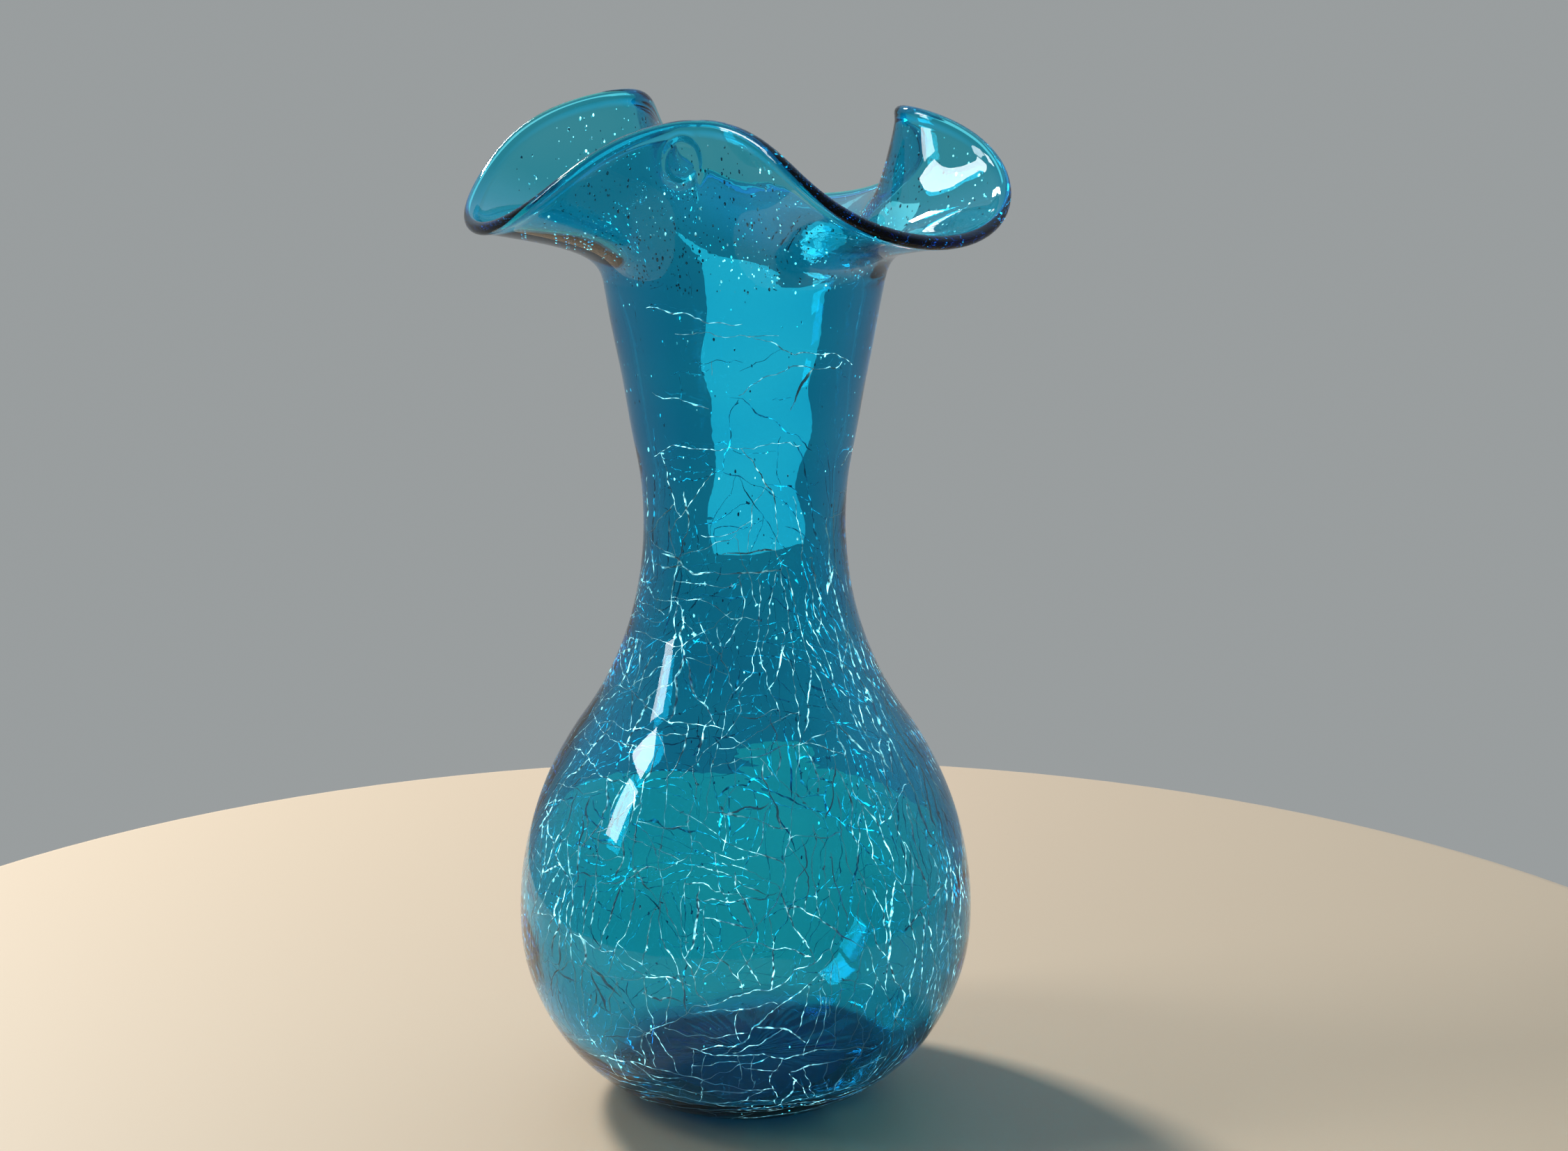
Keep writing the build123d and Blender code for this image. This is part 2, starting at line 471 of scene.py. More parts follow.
@dataclass
class Vessel:
    """The whole wall of glass as one closed skin: outside, rounded lip, inside."""

    body: BodyShape = field(default_factory=BodyShape)
    mouth: MouthShape = field(default_factory=MouthShape)
    marks: ToolMarks = field(default_factory=ToolMarks)
    segments: int = 216
    plain_stations: int = 20
    near_lip: tuple[float, ...] = (3.6, 3.0, 2.4, 1.9, 1.45, 1.0, 0.6, 0.25)
    bead_steps: int = 12
    outer_wobble: float = 0.16 * MM
    inner_wobble: float = 0.42 * MM
    wobble_round: float = 34.0
    wobble_up: float = 75.0
    wobble_shift: float = 7.3
    level_foot: float = 3 * MM
    weld: float = 0.002 * MM

    def mouth_stations(self) -> list[tuple[object, ...]]:
        """The mouth's rings.

        Returns:
            What places each ring, from the throat outside, over the lip, to the throat inside.
        """
        first_back = self.near_lip[0] * MM
        plain = [(k / self.plain_stations, first_back) for k in range(1, self.plain_stations + 1)]
        close = [(1.0, back * MM) for back in self.near_lip[1:]]
        up = plain + close
        rounds = [math.pi * k / self.bead_steps for k in range(self.bead_steps + 1)]
        stations: list[tuple[object, ...]] = [(Side.OUTSIDE, *place) for place in up]
        stations += [(turn,) for turn in rounds]
        return stations + [(Side.INSIDE, *place) for place in up[::-1]]

    def station_place(self, station: tuple[object, ...], turn: np.ndarray) -> np.ndarray:
        """Places on one of the mouth's rings.

        Args:
            station: One of mouth_stations.
            turn: Turns round the axis.

        Returns:
            Rows x, y, z.
        """
        if len(station) == 1:
            return self.mouth.bead_place(turn, station[0])
        return self.mouth.wall_place(turn, *station)

    def profile(self) -> tuple[list[complex], int]:
        """The half section to spin, with the mouth as it is half way up a spout's side.

        Returns:
            The places, and the number of the mouth's first.
        """
        outside, inside = self.body.outside(), self.body.inside()
        turn = np.array([self.mouth.spout_turn + math.pi / 2 / self.mouth.spouts])
        flare = []
        for station in self.mouth_stations():
            x, y, z = self.station_place(station, turn)[0]
            flare.append(complex(math.hypot(x, y), z))
        return outside + flare + inside, len(outside)

    def spin(self, places: list[complex]) -> Piece:
        """Draws the half section from a single point and spins it round the axis.

        Args:
            places: The half section, as radius + height * i.

        Returns:
            The new object.
        """
        deselect_all()
        bpy.ops.mesh.primitive_plane_add(size=1 * MM, location=(0, 0, 0))
        piece = bpy.context.object
        bpy.ops.object.mode_set(mode="EDIT")
        bpy.ops.mesh.select_all(action="SELECT")
        bpy.ops.mesh.merge(type="CENTER")
        for here, there in zip(places, places[1:]):
            step = there - here
            bpy.ops.mesh.extrude_region_move(TRANSFORM_OT_translate={"value": (step.real, 0, step.imag)})
        bpy.ops.mesh.select_all(action="SELECT")
        bpy.ops.mesh.spin(steps=self.segments, angle=math.tau, center=(0, 0, 0), axis=(0, 0, 1))
        bpy.ops.mesh.select_all(action="SELECT")
        bpy.ops.mesh.remove_doubles(threshold=self.weld)
        bpy.ops.mesh.normals_make_consistent(inside=False)
        bpy.ops.object.mode_set(mode="OBJECT")
        return piece

    def ruffle(self, piece: Piece, places: list[complex], first: int) -> None:
        """Pulls the plain flare's rings out into spouts and crests.

        Args:
            piece: The spun object.
            places: The half section that it was spun from.
            first: The number of the mouth's first place.
        """
        points = get_points(piece)
        turn = np.arctan2(points[:, 1], points[:, 0])
        here = np.hypot(points[:, 0], points[:, 1]) + 1j * points[:, 2]
        gaps = np.abs(here[:, None] - np.array(places)[None, :])
        nearest = gaps.argmin(axis=1)
        for number, station in enumerate(self.mouth_stations(), first):
            ring = np.flatnonzero(nearest == number)
            points[ring] = self.station_place(station, turn[ring])
        set_points(piece, points)
        LOG.info("ruffled %d rings of the mouth", len(self.mouth_stations()))

    def wobble(self, piece: Piece) -> None:
        """Gives both skins the slight unevenness of free-blown glass.

        Args:
            piece: The glass skin.
        """
        points, normals = get_points(piece), get_normals(piece)
        inward = (normals[:, :2] * points[:, :2]).sum(axis=1) < 0
        for number, place in enumerate(points):
            if place[2] < self.level_foot:
                continue
            deep = self.inner_wobble if inward[number] else self.outer_wobble
            spot = Vector(place) * self.wobble_round
            spot.z = place[2] * self.wobble_up
            spot.x += self.wobble_shift if inward[number] else 0.0
            points[number] += normals[number] * deep * noise.noise(spot)
        set_points(piece, points)

    def press(self, piece: Piece) -> None:
        """Presses the tools' marks into the outer side of the front crest.

        Args:
            piece: The glass skin.
        """
        points, normals = get_points(piece), get_normals(piece)
        marks = self.marks
        ring = np.linalg.norm(points - marks.ring_centre, axis=1) - marks.ring_radius
        crimp = np.linalg.norm((points - marks.crimp_centre) * marks.crimp_stretch, axis=1)
        height = marks.ring_height * np.exp(-((ring / marks.width) ** 2))
        height -= marks.crimp_depth * np.exp(-((crimp / marks.width) ** 2))
        outer = (normals[:, :2] * points[:, :2]).sum(axis=1) > 0
        set_points(piece, points + normals * (height * outer)[:, None])

    def build(self) -> Piece:
        """Makes the closed glass skin.

        Returns:
            The finished object, smooth shaded, standing for all five solids.
        """
        places, first = self.profile()
        piece = self.spin(places)
        piece.name = piece.data.name = "glass_wall"
        self.ruffle(piece, places, first)
        self.wobble(piece)
        self.press(piece)
        make_active(piece)
        bpy.ops.object.shade_smooth()
        return piece


# ---------------------------------------------------------------- what is inside the glass


@dataclass
class OuterSkin:
    """Reads places on the body's outside by turn and length along the outline."""

    body: BodyShape = field(default_factory=BodyShape)
    nudge: float = 0.5 * MM

    def __post_init__(self) -> None:
        """Measures the outline once."""
        self.line = np.array(self.body.line(0.0))
        self.length = np.concatenate([[0], np.cumsum(np.abs(np.diff(self.line)))])

    def radius(self, run: np.ndarray) -> np.ndarray:
        """Radius at each length along the outline."""
        return np.interp(run, self.length, self.line.real)

    def height(self, run: np.ndarray) -> np.ndarray:
        """Height at each length along the outline."""
        return np.interp(run, self.length, self.line.imag)

    def place(self, turn: np.ndarray, run: np.ndarray) -> tuple[np.ndarray, np.ndarray]:
        """Places on the skin.

        Args:
            turn: Turns round the axis.
            run: Lengths along the outline.

        Returns:
            Rows x, y, z, and the unit rows that point out of the skin there.
        """
        radius, height = self.radius(run), self.height(run)
        ahead, behind = run + self.nudge, run - self.nudge
        slope = (self.radius(ahead) - self.radius(behind)) + 1j * (self.height(ahead) - self.height(behind))
        slope = slope / np.abs(slope)
        out = np.stack([slope.imag * np.cos(turn), slope.imag * np.sin(turn), -slope.real], -1)
        return np.stack([radius * np.cos(turn), radius * np.sin(turn), height], -1), out


@dataclass
class Fissures:
    """The crackle: a net of thin sheets of broken glass inside the outer gather."""

    skin: OuterSkin = field(default_factory=OuterSkin)
    seed: int = 11
    step: float = 1.15 * MM
    clearance: float = 0.8 * MM
    start_room: float = 1.95 * MM
    starts: int = 6500
    mean_run: float = 30.0 * MM
    longest: float = 75.0 * MM
    skin_depth: float = 0.25 * MM
    shallow: float = 0.3 * MM
    deep: float = 1.0 * MM
    flakes_per_crack: float = 2.2
    thickness: float = 0.07 * MM
    lean: float = 0.2
    lean_change: float = 0.35
    lean_gap: int = 3
    lean_most: float = 0.8
    edge_change: float = 0.35
    edge_gap: int = 2
    edge_share: float = 0.8
    least_taper: float = 0.15
    shallow_levels: tuple[float, float] = (10, 55)
    shallow_shares: tuple[float, float] = (0.5, 1.0)
    flake_levels: tuple[float, ...] = (30, 75, 130, 150)
    flake_chances: tuple[float, ...] = (0.35, 1, 1, 0.4)
    flake_tilts: tuple[float, float] = (0.3, 1.1)
    flake_lengths: tuple[float, float] = (0.25, 0.65)
    flake_shares: tuple[float, float] = (0.35, 0.8)
    flake_depths: tuple[float, float] = (0.5, 0.9)
    flake_blunting: float = 0.7
    flake_corners: tuple[tuple[float, float], ...] = ((-1, -1), (1, -0.6), (0.8, 1), (-0.7, 0.8))
    bend: float = 0.04
    wander: float = 0.24
    wander_kept: float = 0.55
    narrowest: float = 5 * MM
    shortest: float = 5 * MM
    foot_margin: float = 1.5 * MM
    throat_margin: float = 2 * MM
    stop_chance: float = 0.16
    least_places: int = 4
    box: float = 2.4 * MM
    levels: tuple[float, ...] = (0, 4, 12, 60, 118, 142, 156, 166, 198, 202)
    chances: tuple[float, ...] = (0.4, 0.7, 0.8, 0.8, 1.0, 0.6, 0.22, 0.05, 0.03, 0.0)
    level_spread: float = 0.34
    upright_spread: float = 0.33
    upright_side: float = 0.35
    upright_more: float = 0.32
    upright_levels: tuple[float, ...] = (0, 14, 26, 60, 140, 165)
    upright_chances: tuple[float, ...] = (0.12, 0.22, 0.5, 0.58, 0.6, 0.3)
    planned: tuple[tuple[float, float, float, float], ...] = (
        (236, 7, 4, 30), (262, 10, -3, 38), (296, 8, 6, 32), (322, 15, 22, 36), (246, 21, 2, 28),
        (280, 26, -4, 24), (248, 198, 2, 12), (262, 193, -2, 12), (292, 186, 14, 14), (258, 166, 1, 20),
        (238, 178, -8, 8), (283, 84, 76, 46), (293, 118, 84, 52), (304, 88, 98, 56), (317, 72, 84, 60),
        (330, 96, 95, 56), (345, 80, 88, 60),
    )

    def __post_init__(self) -> None:
        """Seeds the draws and clears the map of what is already cracked."""
        self.draw = random.Random(self.seed)
        self.taken: dict[tuple[int, int, int], list[tuple[float, float, float, int]]] = {}

    def density(self, height: float) -> float:
        """How likely a crack is to start at a height, from 0 to 1."""
        return float(np.interp(height / MM, self.levels, self.chances))

    def spot(self, turn: float, run: float) -> Triple:
        """One place on the skin.

        Args:
            turn: Its turn round the axis.
            run: Its length along the outline.

        Returns:
            Its x, y and z.
        """
        radius = float(np.interp(run, self.skin.length, self.skin.line.real))
        height = float(np.interp(run, self.skin.length, self.skin.line.imag))
        return radius * math.cos(turn), radius * math.sin(turn), height

    def cell(self, spot: Triple) -> tuple[int, int, int]:
        """The box of the map that a place is in."""
        return tuple(int(v // self.box) for v in spot)

    def blocked(self, spot: Triple, own: int, room: float) -> bool:
        """Whether another crack passes close to a place.

        Args:
            spot: The place.
            own: The number of the crack that asks.
            room: How close is too close.

        Returns:
            True where one does.
        """
        a, b, c = self.cell(spot)
        span = (-1, 0, 1)
        for key in ((a + i, b + j, c + k) for i in span for j in span for k in span):
            for x, y, z, number in self.taken.get(key, ()):
                if number != own:
                    if (x - spot[0]) ** 2 + (y - spot[1]) ** 2 + (z - spot[2]) ** 2 < room * room:
                        return True
        return False

    def heading(self, turn: float, height: float) -> float:
        """Draws a crack's first direction.

        Args:
            turn: Where it starts round the axis.
            height: How high it starts.

        Returns:
            The direction: 0 goes round the vase, and a quarter turn goes up it.
        """
        upright = float(np.interp(height / MM, self.upright_levels, self.upright_chances))
        upright += self.upright_more * max(0.0, math.cos(turn + self.upright_side))
        if self.draw.random() < upright:
            return math.pi / 2 + self.draw.gauss(0, self.upright_spread)
        return self.draw.gauss(0, self.level_spread)

    def grow(
        self, turn: float, run: float, heading: float, own: int, limit: float
    ) -> list[tuple[float, float]]:
        """Runs one end of a crack on until it meets another or stops by itself.

        Args:
            turn: Where it starts round the axis.
            run: Where it starts along the outline.
            heading: Its first direction.
            own: The crack's number, below 0 for a planned one.
            limit: The longest that it may get.

        Returns:
            Its places as turns and lengths along the outline.
        """
        trail = [(turn, run)]
        gone, wander = 0.0, 0.0
        while gone < limit:
            heading += self.draw.gauss(0, self.bend)
            wander = self.wander_kept * wander + self.draw.gauss(0, self.wander)
            radius = max(float(np.interp(run, self.skin.length, self.skin.line.real)), self.narrowest)
            turn += math.cos(heading + wander) * self.step / radius
            run += math.sin(heading + wander) * self.step
            if not self.foot_margin < run < self.skin.length[-1] - self.throat_margin:
                break
            spot = self.spot(turn, run)
            likely = self.density(spot[2])
            if likely <= 0 or (own >= 0 and self.draw.random() < self.stop_chance * (1 - likely) ** 3):
                break
            trail.append((turn, run))
            if gone > 2 * self.step and self.blocked(spot, own, self.clearance):
                break
            gone += self.step
        return trail

    def add(self, found: list, turn: float, run: float, heading: float, own: int, limit: float) -> None:
        """Grows a crack both ways from a place, and puts it on the map.

        Args:
            found: The cracks so far, which it joins.
            turn: Where it starts round the axis.
            run: Where it starts along the outline.
            heading: Its first direction.
            own: The crack's number, below 0 for a planned one.
            limit: The longest that each way may get.
        """
        ahead = self.grow(turn, run, heading, own, limit)
        behind = self.grow(turn, run, heading + math.pi, own, limit)
        trail = behind[:0:-1] + ahead
        if len(trail) < self.least_places:
            return
        for place in trail:
            spot = self.spot(*place)
            self.taken.setdefault(self.cell(spot), []).append((*spot, own))
        found.append(trail)

    def trails(self) -> list[list[tuple[float, float]]]:
        """Draws all the cracks.

        Returns:
            Each crack as turns and lengths along the outline.
        """
        found: list[list[tuple[float, float]]] = []
        for number, (turn, height, heading, reach) in enumerate(self.planned, 1):
            run = float(np.interp(height * MM, self.skin.line.imag, self.skin.length))
            self.add(found, math.radians(turn), run, math.radians(heading), -number, reach * MM)
        total = float(self.skin.length[-1])
        widest = float(self.skin.line.real.max())
        for own in range(self.starts):
            turn, run = self.draw.uniform(0, math.tau), self.draw.uniform(0, total)
            spot = self.spot(turn, run)
            chance = self.density(spot[2]) * math.hypot(spot[0], spot[1]) / widest
            if self.draw.random() > chance or self.blocked(spot, own, self.start_room):
                continue
            limit = min(self.longest, self.draw.expovariate(1 / self.mean_run) + self.shortest)
            self.add(found, turn, run, self.heading(turn, spot[2]), own, limit)
        return found

    def uneven(self, count: int, gap: int) -> np.ndarray:
        """A smooth uneven row of values from -1 to 1, with a new draw every gap places."""
        knots = [self.draw.uniform(-1, 1) for _ in range(count // gap + 3)]
        return np.interp(np.arange(count) / gap + self.draw.random(), np.arange(len(knots)), knots)

    def sheet(self, trail: list[tuple[float, float]]) -> tuple[np.ndarray, np.ndarray, np.ndarray]:
        """One crack's blade.

        Args:
            trail: Turns and lengths along the outline.

        Returns:
            Places along its outer edge, places along its inner edge, and the rows that point out of the skin.
        """
        spots, out = self.skin.place(*np.array(trail).T)
        across = np.cross(out, unit(np.gradient(spots, axis=0)))
        count = len(trail)
        lean = self.draw.gauss(0, self.lean) + self.lean_change * self.uneven(count, self.lean_gap)
        lean = np.clip(lean, -self.lean_most, self.lean_most)
        taper = np.clip(np.minimum(np.arange(count), np.arange(count)[::-1]) / 2, self.least_taper, 1)
        deep = self.draw.uniform(self.shallow, self.deep) * taper
        deep = deep * (self.edge_share + self.edge_change * self.uneven(count, self.edge_gap))
        deep = deep * np.interp(spots[:, 2] / MM, self.shallow_levels, self.shallow_shares)
        edge = spots - out * self.skin_depth
        back = edge - out * deep[:, None] + across * (np.tan(lean) * deep)[:, None]
        return edge, back, out

    def flake(self, spot: np.ndarray, out: np.ndarray) -> np.ndarray:
        """A small tilted facet that a crack has split off.

        Args:
            spot: The place on the crack where it lies.
            out: The way out of the skin there.

        Returns:
            Its four corners.
        """
        side = unit(np.cross(out, [self.draw.gauss(0, 1) for _ in range(3)]))
        other = np.cross(out, side)
        tilt = self.draw.uniform(*self.flake_tilts)
        length = self.draw.uniform(*self.flake_lengths) * MM
        width = length * self.draw.uniform(*self.flake_shares)
        down = unit(other * math.cos(tilt) - out * math.sin(tilt))
        middle = spot - out * self.draw.uniform(*self.flake_depths) * MM
        blunt = self.flake_blunting
        return np.array(
            [middle + side * a * length + down * b * width * blunt for a, b in self.flake_corners]
        )

    def build(self) -> Piece:
        """Makes every crack's sheet and facets.

        Returns:
            One mesh object of thin closed blades.
        """
        points, faces, first = [], [], 0
        trails = self.trails()
        for trail in trails:
            edge, back, out = self.sheet(trail)
            count = len(trail)
            points += [edge, back]
            faces += [(k, k + 1, k + count + 1, k + count) for k in range(first, first + count - 1)]
            first += 2 * count
            for _ in range(int(self.draw.expovariate(1 / self.flakes_per_crack))):
                place = self.draw.randrange(count)
                height = edge[place][2] / MM
                if self.draw.random() > np.interp(height, self.flake_levels, self.flake_chances):
                    continue
                points.append(self.flake(edge[place], out[place]))
                faces.append(tuple(range(first, first + 4)))
                first += 4
        piece = piece_from_faces("crackle_fissures", np.concatenate(points), np.array(faces))
        LOG.info("%d cracks, %d faces", len(trails), len(faces))
        apply_modifier(piece, "SOLIDIFY", thickness=self.thickness, offset=0.0)
        return piece


@dataclass
class Seeds:
    """Bubbles trapped in the glass, more of them in the mouth."""

    skin: OuterSkin = field(default_factory=OuterSkin)
    mouth: MouthShape = field(default_factory=MouthShape)
    seed: int = 5
    in_body: int = 500
    in_mouth: int = 1500
    smallest: float = 0.12 * MM
    largest: float = 0.34 * MM
    rarity: float = 2.2
    depths: tuple[float, float] = (0.9, 2.2)
    mouth_offsets: tuple[float, float] = (-0.6, 0.6)
    egg: Triple = (0.9, 1.0, 1.15)

    def pattern(self) -> tuple[np.ndarray, np.ndarray]:
        """Shapes one small egg from a ball that is then removed.

        Returns:
            Its places, and its faces as rows of their numbers.
        """
        deselect_all()
        bpy.ops.mesh.primitive_uv_sphere_add(segments=6, ring_count=5, radius=1.0, location=(0, 0, 0))
        ball = bpy.context.object
        bpy.ops.object.mode_set(mode="EDIT")
        bpy.ops.mesh.select_all(action="SELECT")
        bpy.ops.mesh.quads_convert_to_tris()
        bpy.ops.transform.resize(value=self.egg, center_override=(0, 0, 0))
        bpy.ops.object.mode_set(mode="OBJECT")
        points = get_points(ball)
        faces = np.array([face.vertices[:] for face in ball.data.polygons])
        bpy.data.objects.remove(ball, do_unlink=True)
        return points, faces

    def build(self) -> Piece:
        """Makes all the bubbles.

        Returns:
            One mesh object of separate little balls.
        """
        draw = random.Random(self.seed)
        ball, ball_faces = self.pattern()
        points, faces = [], []
        for number in range(self.in_body + self.in_mouth):
            turn = np.array([draw.uniform(0, math.tau)])
            size = self.smallest + (self.largest - self.smallest) * draw.random() ** self.rarity
            if number < self.in_body:
                run = np.array([draw.uniform(4 * MM, float(self.skin.length[-1]))])
                spot, out = self.skin.place(turn, run)
                spot = spot - out * draw.uniform(*self.depths) * MM
            else:
                reach = np.array([draw.uniform(0.0, 0.95)])
                out = self.mouth.outward(turn, reach)
                spot = self.mouth.middle(turn, reach) + out * draw.uniform(*self.mouth_offsets) * MM
            stretch = np.array([1.0, 1.0, draw.uniform(1.0, 1.6)])
            points.append(ball * stretch * size + spot)
            faces.append(ball_faces + number * len(ball))
        piece = piece_from_faces("seed_bubbles", np.concatenate(points), np.concatenate(faces))
        make_active(piece)
        bpy.ops.object.shade_smooth()
        return piece


# ---------------------------------------------------------------- finishes


def add_node(tree: Tree, kind: str, inputs: dict | None = None, **settings: object) -> Node:
    """Adds one node to a tree.

    Args:
        tree: The tree.
        kind: The node's type.
        inputs: What goes in, by the socket's name or number: an output is linked, and a value is set.
        **settings: The node's own settings.

    Returns:
        The new node.
    """
    node = tree.nodes.new(kind)
    for name, value in settings.items():
        setattr(node, name, value)
    feed(tree, node, inputs or {})
    return node


def feed(tree: Tree, node: Node, inputs: dict) -> None:
    """Links or sets some of a node's inputs.

    Args:
        tree: The tree that it is in.
        node: The node.
        inputs: What goes in, by the socket's name or number: an output is linked, and a value is set.
    """
    for key, value in inputs.items():
        if isinstance(value, Socket):
            tree.links.new(value, node.inputs[key])
        else:
            node.inputs[key].default_value = value


def chain(tree: Tree, value: Socket, *steps: tuple) -> Socket:
    """Puts a value through sums.

    Args:
        tree: The tree to add the nodes to.
        value: The output to start from.
        *steps: Each sum's operation, and its second number or output where it has one.

    Returns:
        The last sum's output.
    """
    for operation, *other in steps:
        inputs = {0: value, **dict(enumerate(other, 1))}
        value = add_node(tree, "ShaderNodeMath", inputs, operation=operation).outputs[0]
    return value


def new_group(name: str, inputs: dict[str, str], outputs: dict[str, str]) -> tuple:
    """Starts a node group.

    Args:
        name: The group's name.
        inputs: Its inputs' names, each with its kind of value.
        outputs: Its outputs' names, each with its kind of value.

    Returns:
        The group, its input node's outputs, its output node, and the place on the object.
    """
    tree = bpy.data.node_groups.new(name, "ShaderNodeTree")
    for way, sockets in (("INPUT", inputs), ("OUTPUT", outputs)):
        for socket, kind in sockets.items():
            tree.interface.new_socket(socket, in_out=way, socket_type=f"NodeSocket{kind}")
    start = add_node(tree, "NodeGroupInput")
    end = add_node(tree, "NodeGroupOutput")
    place = add_node(tree, "ShaderNodeTexCoord")
    return tree, start.outputs, end, place.outputs["Object"]


def ripple_group() -> Tree:
    """The slight ripple of free-blown glass, as a height for a bump.

    Returns:
        The node group.
    """
    tree, given, end, place = new_group(
        "blown_ripple", {"Stretch": "Vector", "Fineness": "Float"}, {"Height": "Float"}
    )
    squeeze = add_node(tree, "ShaderNodeVectorMath", {0: place, 1: given["Stretch"]}, operation="MULTIPLY")
    inputs = {"Vector": squeeze.outputs[0], "Scale": given["Fineness"], "Detail": 2.0, "Roughness": 0.45}
    waves = add_node(tree, "ShaderNodeTexNoise", inputs)
    feed(tree, end, {"Height": waves.outputs["Fac"]})
    return tree


def mark_group() -> Tree:
    """A mark that a tool has pressed in: a soft ring, or a line where it has no radius.

    Returns:
        The node group.
    """
    inputs = {"Centre": "Vector", "Stretch": "Vector", "Radius": "Float", "Width": "Float"}
    tree, given, end, place = new_group("tool_mark", inputs, {"Height": "Float"})
    shift = add_node(tree, "ShaderNodeVectorMath", {0: place, 1: given["Centre"]}, operation="SUBTRACT")
    inputs = {0: shift.outputs[0], 1: given["Stretch"]}
    squeeze = add_node(tree, "ShaderNodeVectorMath", inputs, operation="MULTIPLY")
    reach = add_node(tree, "ShaderNodeVectorMath", {0: squeeze.outputs[0]}, operation="LENGTH")
    height = chain(
        tree, reach.outputs["Value"], ("SUBTRACT", given["Radius"]), ("DIVIDE", given["Width"]),
        ("POWER", 2.0), ("MULTIPLY", -1.0), ("EXPONENT",),
    )
    feed(tree, end, {"Height": height})
    return tree


@dataclass(frozen=True)
class AquaGlass:
    """Clear aqua glass whose colour deepens with its thickness."""

    name: str = "aqua_glass"
    roughness: float = 0.0
    ior: float = 1.5
    absorbed: Triple = (760.0, 120.0, 54.0)
    ripple_stretch: Triple = (1.0, 1.0, 2.2)
    ripple_fineness: float = 90.0
    ripple_strength: float = 0.10
    ripple_depth: float = 0.3 * MM
    marks: ToolMarks = field(default_factory=ToolMarks)
    mark_width: float = 0.8 * MM
    mark_depth: float = 0.35 * MM
    headroom: float = 1.02

    def mark(
        self, tree: Tree, group: Tree, centre: tuple, stretch: tuple, radius: float
    ) -> Socket:
        """Places one tool mark in the material.

        Args:
            tree: The material's tree.
            group: The shared node group for marks left by tools.
            centre: The mark's middle.
            stretch: How much each axis counts.
            radius: The ring's radius, or 0 for a line.

        Returns:
            The mark's height.
        """
        inputs = {"Centre": centre, "Stretch": stretch, "Radius": radius, "Width": self.mark_width}
        return add_node(tree, "ShaderNodeGroup", inputs, node_tree=group).outputs["Height"]

    def build(self, ripple: Tree, group: Tree) -> Material:
        """Makes the material.

        Args:
            ripple: The shared node group for the skin's waves.
            group: The shared node group for marks left by tools.

        Returns:
            The finished material.
        """
        material = bpy.data.materials.new(self.name)
        material.use_nodes = True
        tree, marks = material.node_tree, self.marks
        inputs = {"Stretch": self.ripple_stretch, "Fineness": self.ripple_fineness}
        waves = add_node(tree, "ShaderNodeGroup", inputs, node_tree=ripple)
        inputs = {
            "Strength": self.ripple_strength,
            "Distance": self.ripple_depth,
            "Height": waves.outputs["Height"],
        }
        bump = add_node(tree, "ShaderNodeBump", inputs)
        ring = self.mark(tree, group, marks.ring_centre, marks.ring_stretch, marks.ring_radius)
        crimp = self.mark(tree, group, marks.crimp_centre, marks.crimp_stretch, 0.0)
        pressed = chain(tree, ring, ("SUBTRACT", crimp))
        inputs = {"Distance": self.mark_depth, "Height": pressed, "Normal": bump.outputs["Normal"]}
        dent = add_node(tree, "ShaderNodeBump", inputs)
        look = {
            "Base Color": (1, 1, 1, 1),
            "Roughness": self.roughness,
            "IOR": self.ior,
            "Transmission Weight": 1.0,
            "Normal": dent.outputs["Normal"],
        }
        feed(tree, tree.nodes["Principled BSDF"], look)
        most = max(self.absorbed) * self.headroom
        inputs = {"Color": (*[1 - part / most for part in self.absorbed], 1), "Density": most}
        tint = add_node(tree, "ShaderNodeVolumeAbsorption", inputs)
        feed(tree, tree.nodes["Material Output"], {"Volume": tint.outputs["Volume"]})
        return material


def ramp(tree: Tree, level: Socket, low: tuple, high: tuple) -> Socket:
    """Turns a level into a colour between two.

    Args:
        tree: The tree to add the node to.
        level: The output that says where on the ramp.
        low: A level, and the colour there and below.
        high: A level, and the colour there and above.

    Returns:
        The colour.
    """
    node = add_node(tree, "ShaderNodeValToRGB", {"Fac": level})
    for end, (position, colour) in zip(node.color_ramp.elements, (low, high)):
        end.position = position
        end.color = (*colour, 1)
    return node.outputs["Color"]


def painted_glint_group() -> Tree:
    """Painted glints for broken faces: an emission level in bright patches, dull ones and sparks between,
    standing for the light that they catch.

    Returns:
        The node group.
    """
    inputs = dict.fromkeys(("Patches", "Sparks", "Least", "Most"), "Float") | {"Tint": "Color"}
    tree, given, end, place = new_group("painted_glint", inputs, {"Amount": "Float", "Color": "Color"})
    amounts = []
    for size, low, high in (("Patches", 0.40, 0.62), ("Sparks", 0.42, 0.68)):
        inputs = {"Vector": place, "Scale": given[size], "Detail": 1.0}
        cloud = add_node(tree, "ShaderNodeTexNoise", inputs)
        inputs = {"Value": cloud.outputs["Fac"], "From Min": low, "From Max": high}
        amounts.append(add_node(tree, "ShaderNodeMapRange", inputs).outputs["Result"])
    amount = chain(tree, amounts[0], ("MULTIPLY", amounts[1]), ("POWER", 1.4))
    inputs = {"Value": amount, "To Min": given["Least"], "To Max": given["Most"]}
    # painted light: the mask is turned into an emission level from Least to Most, in the Tint colour
    painted_glow_strength = add_node(tree, "ShaderNodeMapRange", inputs, clamp=False).outputs["Result"]
    inputs = {0: given["Tint"], "Scale": painted_glow_strength}
    painted_glow_colour = add_node(tree, "ShaderNodeVectorMath", inputs, operation="SCALE")
    feed(tree, end, {"Amount": amount, "Color": painted_glow_colour.outputs["Vector"]})
    return tree


